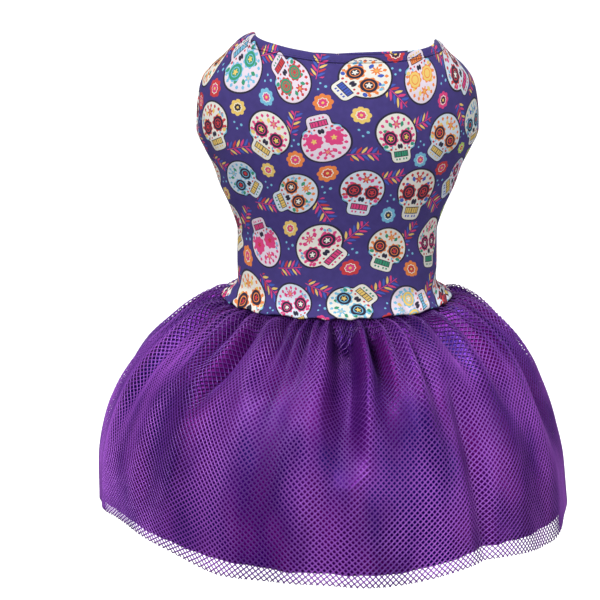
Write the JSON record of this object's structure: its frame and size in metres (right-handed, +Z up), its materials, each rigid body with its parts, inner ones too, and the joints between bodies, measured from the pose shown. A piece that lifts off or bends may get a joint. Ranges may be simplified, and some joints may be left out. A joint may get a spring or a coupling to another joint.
{
  "type": "dog dress",
  "caption": "Sleeveless dress for a small dog: printed jersey bodice with two leg holes, gathered net skirt over satin",
  "frame": {"origin": "middle of the chest hollow, level with the widest part of the bodice, where the dog's body carries the dress", "axes": "+Z up through the neck, the panel over the dog's back faces -Y, the dog's left side is -X"},
  "size_m": [0.2724, 0.2599, 0.2799],
  "materials": {
    "printed_jersey": "deep violet knitted jersey with a bright allover print, matt",
    "hem_jersey": "the same jersey, turned and stitched",
    "satin": "shiny purple satin",
    "net": "purple net with a slight sparkle"
  },
  "bodies": {
    "root": {"back_panel": "printed_jersey", "belly_panel": "printed_jersey", "neck_hem": "hem_jersey", "leg_hem_left": "hem_jersey", "leg_hem_right": "hem_jersey", "satin_underskirt": "satin", "net_skirt": "net"}
  },
  "joints": []
}
